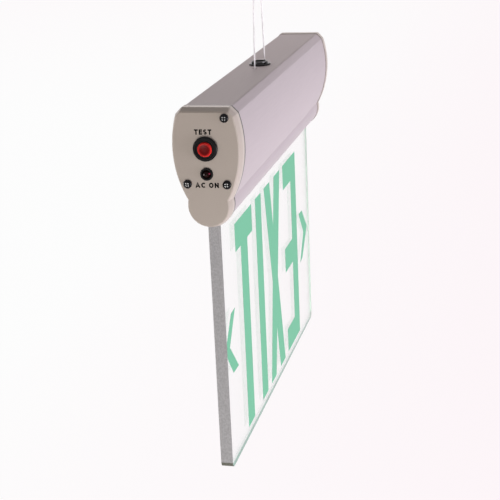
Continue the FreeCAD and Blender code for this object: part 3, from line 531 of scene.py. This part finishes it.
def dressedPanel():
    low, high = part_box("legend_panel")
    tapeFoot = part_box("control_edge_tape")[0].z

    def cutAtTape(bm):
        bmesh.ops.bisect_plane(bm, geom=bm.verts[:] + bm.edges[:] + bm.faces[:], dist=weldGap,
                               plane_co=(0, 0, tapeFoot), plane_no=(0, 0, 1))
        bmesh.ops.scale(bm, verts=bm.verts[:], vec=(1 - panelSet["clear"], 1, 1))

    mesh = mergedCopy("legend_panel", cutAtTape)
    panel = coloured(linked("legendPanelDressed", mesh), finishes["clear_acrylic"])
    for edge in panelSet["edges"]:
        panel.data.materials.append(edgeFinish(*edge))
    for face in panel.data.polygons:
        face.material_index = panelSlot(face, low, high, tapeFoot)
    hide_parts("legend_panel")


dressedPanel()

for side, end in ((1, "control"), (-1, "plain")):
    wire, path, length = strandedWire(side, end + "SideWire")
    coloured(wire, finishes["wire_steel"])
    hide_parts(end + "_side_wire")

print("return spring")


def squashedSpring():
    coils = coloured(linked("returnSpringCoils", mergedCopy("return_spring")), finishes["spring_steel"])
    smoothed(coils)
    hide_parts("return_spring")
    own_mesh(coils)


squashedSpring()

print("legend")
legendSet = {                             # millimetres in the housing's frame
    "top": -85.3,
    "foot": -237.7,
    "stroke": 19.05,
    "proud": 0.04,                        # thickness of the ink
    "clear": 0.01,                        # gap between the sheet and the ink
    "tBar": (108.5, 60.4),
    "tStem": (94.2, 75.5),
    "iStem": (49.1, 31.4),
    "xTop": (21.3, 2.95, -12.3, -32.7),   # edges of the two crossing strokes
    "xFoot": (19.0, 2.6, -14.1, -31.4),
    "eArms": (-43.3, -90.7),
    "eSpine": -71.4,
    "cutOff": (-155.4, -166.1),           # where the sheet's edge cuts the near chevron's tip
}
underside = -0.5                          # faces that look this far back lie on the sheet


def printed(name, outline):
    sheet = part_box("legend_panel")[1].y + legendSet["clear"] * mm
    bm = bmesh.new()
    bm.faces.new([bm.verts.new((x * mm, sheet, z * mm)) for x, z in outline])
    bm.normal_update()
    bmesh.ops.triangulate(bm, faces=bm.faces[:])
    grown = bmesh.ops.extrude_face_region(bm, geom=bm.faces[:])
    lifted = [item for item in grown["geom"] if isinstance(item, bmesh.types.BMVert)]
    bmesh.ops.translate(bm, verts=lifted, vec=(0, legendSet["proud"] * mm, 0))
    bmesh.ops.recalc_face_normals(bm, faces=bm.faces[:])
    mesh = bpy.data.meshes.new(name)
    bm.to_mesh(mesh)
    bm.free()
    piece = coloured(linked(name, mesh), greenPrint)
    piece.data.materials.append(greenUnderside)
    for face in piece.data.polygons:
        face.material_index = 1 if face.normal.y < underside else 0


def outlineT(top, foot, stroke):
    near, far = legendSet["tBar"]
    stemNear, stemFar = legendSet["tStem"]
    under = top - stroke
    return [(near, top), (far, top), (far, under), (stemFar, under), (stemFar, foot),
            (stemNear, foot), (stemNear, under), (near, under)]


def outlineI(top, foot, stroke):
    near, far = legendSet["iStem"]
    return [(near, top), (far, top), (far, foot), (near, foot)]


def crossing(start, end, otherStart, otherEnd):
    runX, runZ = start[0] - end[0], start[1] - end[1]
    otherX, otherZ = otherStart[0] - otherEnd[0], otherStart[1] - otherEnd[1]
    across = runX * otherZ - runZ * otherX
    first = start[0] * end[1] - start[1] * end[0]
    second = otherStart[0] * otherEnd[1] - otherStart[1] * otherEnd[0]
    return (first * otherX - runX * second) / across, (first * otherZ - runZ * second) / across


def outlineX(top, foot, stroke):
    fallNear, fallFar, riseNear, riseFar = [(x, top) for x in legendSet["xTop"]]
    riseFootNear, riseFootFar, fallFootNear, fallFootFar = [(x, foot) for x in legendSet["xFoot"]]
    innerTop = crossing(fallFar, fallFootFar, riseNear, riseFootNear)
    innerFoot = crossing(fallNear, fallFootNear, riseFar, riseFootFar)
    nearSide = crossing(fallNear, fallFootNear, riseNear, riseFootNear)
    farSide = crossing(fallFar, fallFootFar, riseFar, riseFootFar)
    return [fallNear, fallFar, innerTop, riseNear, riseFar, farSide, fallFootFar, fallFootNear,
            innerFoot, riseFootFar, riseFootNear, nearSide]


def outlineE(top, foot, stroke):
    tips, back = legendSet["eArms"]
    spine = legendSet["eSpine"]
    barTop = (top + foot) / 2 + stroke / 2
    barFoot = (top + foot) / 2 - stroke / 2
    return [(tips, top), (back, top), (back, foot), (tips, foot), (tips, foot + stroke),
            (spine, foot + stroke), (spine, barFoot), (tips, barFoot), (tips, barTop), (spine, barTop),
            (spine, top - stroke), (tips, top - stroke)]


greenPrint = printFinish()
greenUnderside = edgeFinish("greenUnderside", printSet["colour"], 0.3, 1.0)   # ink seen through the sheet
for letter, outline in (("T", outlineT), ("I", outlineI), ("X", outlineX), ("E", outlineE)):
    printed("letter" + letter, outline(legendSet["top"], legendSet["foot"], legendSet["stroke"]))
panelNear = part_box("legend_panel")[1].x / mm
printed("nearChevron", [(117.2, -139.7), (128.1, -140.1), *((panelNear, z) for z in legendSet["cutOff"]),
                        (128.3, -181.7), (114.1, -182.1), (134.6, -161.1)])
printed("farChevron", [(-131.9, -159.5), (-109.8, -180.6), (-100.4, -182.1), (-116.5, -160.1),
                       (-99.4, -140.2), (-112.6, -140.6)])

print("cap lettering")
letteringSet = {
    "height": 3.3,                        # millimetres
    "stroke": 0.26,                       # share of the height
    "gap": 0.2,
    "proud": 0.06,
    "gloss": 0.05,
    "words": (                            # place across, place up, width
        ("testWord", "TEST", -1.1, -13.9, 10.8),
        ("supplyWordLeft", "AC", -4.3, -47.0, 6.5),
        ("supplyWordRight", "ON", 4.1, -47.0, 6.2),
    ),
}


def arc(centreX, centreY, reachX, reachY, start, end, steps=16):
    turns = [math.radians(start + (end - start) * step / steps) for step in range(steps + 1)]
    return [(centreX + reachX * math.cos(turn), centreY + reachY * math.sin(turn)) for turn in turns]


def letterStrokes(letter):
    # each letter is one high; a stroke is a line through its middle
    half = letteringSet["stroke"] / 2
    if letter == "T":
        return 0.78, [[(0, 1 - half), (0.78, 1 - half)], [(0.39, 1), (0.39, 0)]]
    if letter == "E":
        arms = ((1 - half, 0.70), (0.52, 0.65), (half, 0.70))
        return 0.70, [[(half, 0), (half, 1)], *([(0, up), (wide, up)] for up, wide in arms)]
    if letter == "S":
        upper = arc(0.37, 0.76 - half / 2, 0.37 - half, 0.24 - half / 2, 25, 270)
        lower = arc(0.37, 0.24 + half / 2, 0.37 - half, 0.24 - half / 2, 90, -155)
        return 0.74, [upper + lower[1:]]
    if letter == "A":
        legs = [(0.8 * half, 0), (0.44, 1 - 0.3 * half), (0.88 - 0.8 * half, 0)]
        return 0.88, [legs, [(0.2, 0.3), (0.68, 0.3)]]
    if letter == "C":
        return 0.82, [arc(0.42, 0.5, 0.42 - half, 0.5 - half, 42, 318, 28)]
    if letter == "O":
        return 0.90, [arc(0.45, 0.5, 0.45 - half, 0.5 - half, 0, 360, 36)]
    return 0.80, [[(half, 0), (half, 1)], [(half, 1 - half), (0.80 - half, half)],
                  [(0.80 - half, 0), (0.80 - half, 1)]]


def wordOnCap(name, text, y, z, width):
    curve = bpy.data.curves.new(name, "CURVE")
    curve.dimensions = "3D"
    curve.bevel_depth = letteringSet["stroke"] / 2
    curve.bevel_resolution = 2
    curve.use_fill_caps = True
    along = 0
    for letter in text:
        wide, strokes = letterStrokes(letter)
        for stroke in strokes:
            spline = curve.splines.new("POLY")
            spline.points.add(len(stroke) - 1)
            for point, (across, up) in zip(spline.points, stroke):
                point.co = (along + across, up, 0, 1)
        along += wide + letteringSet["gap"]
    total = along - letteringSet["gap"]
    holder = bpy.data.objects.new(name, curve)
    mesh = bpy.data.meshes.new_from_object(holder)
    bpy.data.objects.remove(holder)
    mesh.transform(Matrix.Translation((-total / 2, -0.5, 0)))
    mesh.transform(Matrix.Diagonal((width * mm / total, letteringSet["height"] * mm, mm, 1)))
    proud = letteringSet["proud"] * mm
    for vertex in mesh.vertices:
        vertex.co.z = max(-proud, min(proud, vertex.co.z))      # the round strokes are pressed flat
    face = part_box("control_end_cap")[1].x
    mesh.transform(Matrix(((0, 0, 1, face), (1, 0, 0, y * mm), (0, 1, 0, z * mm), (0, 0, 0, 1))))
    piece = coloured(linked(name, mesh), blackInk)
    smoothed(piece)


blackInk = plainFinish("blackInk", (0.004, 0.004, 0.004), 0.7, gloss=letteringSet["gloss"])
for word in letteringSet["words"]:
    wordOnCap(*word)

print("studio")
studioSet = {
    "floorZ": -1.6,
    "floorSize": 55.0,
    "background": (1.0, 0.955, 0.972),
    "floorLeft": (1.0, 1.0, 1.0),
    "floorRight": (1.0, 0.925, 0.955),
    "tintSpan": (-1.75, 0.35),            # metres along y, from the left tint to the right one
    "fade": (8.0, 20.0),                  # beyond this the floor has the background's colour
    "zenith": (0.07, 0.062, 0.054),
    "horizon": (0.31, 0.292, 0.297),
    "shadowShare": 0.025,                 # how much of the lit floor the camera sees
    "aim": (0, 0, -0.1),
    "lamps": (                            # place, diameter, watts, colour
        ("sideLamp", (0.18, 1.5, -0.36), 0.9, 21.0, (0.96, 0.935, 1.0)),
        ("frontLamp", (1.7, -0.3, -1.0), 1.0, 13.5, (1.0, 0.965, 0.905)),
        ("backLamp", (-0.3, -1.6, 0.0), 1.5, 13, (1.0, 0.985, 1.0)),
        ("topLamp", (-0.5, -0.15, 0.42), 0.3, 1.35, (1.0, 0.92, 0.87)),
    ),
}


def splitBackground(tree, output, lit, shown, share=1.0):
    # the camera, mirrors and clear pieces see the shown tone, and the lit one lights the rest
    light = tree.nodes.new("ShaderNodeLightPath")
    seen = mathNode(tree, "MAXIMUM", light.outputs["Is Camera Ray"], light.outputs["Is Glossy Ray"])
    seen = mathNode(tree, "MAXIMUM", seen, light.outputs["Is Transmission Ray"])
    mix = tree.nodes.new("ShaderNodeMixShader")
    tree.links.new(mathNode(tree, "MULTIPLY", seen, share), mix.inputs["Fac"])
    tree.links.new(lit.outputs[0], mix.inputs[1])
    tree.links.new(shown.outputs[0], mix.inputs[2])
    tree.links.new(mix.outputs[0], output.inputs["Surface"])


def makeWorld():
    world = bpy.data.worlds.new("studio")
    world.use_nodes = True
    bpy.context.scene.world = world
    tree = world.node_tree
    lit = tree.nodes["Background"]
    sky = ramped(tree, axisPlace(tree, "Z", "Generated"), studioSet["horizon"], studioSet["zenith"])
    tree.links.new(sky, lit.inputs["Color"])
    shown = tree.nodes.new("ShaderNodeBackground")
    shown.inputs["Color"].default_value = (*studioSet["background"], 1)
    splitBackground(tree, tree.nodes["World Output"], lit, shown)


def makeFloor():
    bm = bmesh.new()
    bmesh.ops.create_grid(bm, x_segments=1, y_segments=1, size=studioSet["floorSize"] / 2)
    bmesh.ops.translate(bm, verts=bm.verts[:], vec=(0, 0, studioSet["floorZ"]))
    mesh = bpy.data.meshes.new("floor")
    bm.to_mesh(mesh)
    bm.free()
    floor = linked("floor", mesh)
    material, lit = startMaterial("paleFloor", studioSet["background"], 0.9, gloss=0.0)
    tree = material.node_tree
    sideways = mapped(tree, axisPlace(tree, "Y"), *studioSet["tintSpan"])
    tint = ramped(tree, sideways, studioSet["floorLeft"], studioSet["floorRight"])
    away = distanceTo(tree, objectPlace(tree), (0, 0, 0))
    tone = mixed(tree, mapped(tree, away, *studioSet["fade"]), tint, studioSet["background"])
    glow = tree.nodes.new("ShaderNodeEmission")
    tree.links.new(tone, glow.inputs["Color"])
    splitBackground(tree, tree.nodes["Material Output"], lit, glow, 1 - studioSet["shadowShare"])
    floor.data.materials.append(material)


def makeLamps():
    for name, place, size, power, colour in studioSet["lamps"]:
        data = bpy.data.lights.new(name, "AREA")
        data.shape = "DISK"
        data.size = size
        data.energy = power
        data.color = colour
        lamp = bpy.data.objects.new(name, data)
        lamp.location = place
        lamp.visible_camera = False
        aim = Vector(studioSet["aim"]) - Vector(place)
        lamp.rotation_euler = aim.to_track_quat("-Z", "Y").to_euler()
        bpy.context.scene.collection.objects.link(lamp)


makeWorld()
makeFloor()
makeLamps()
bpy.context.scene.view_settings.view_transform = "Standard"
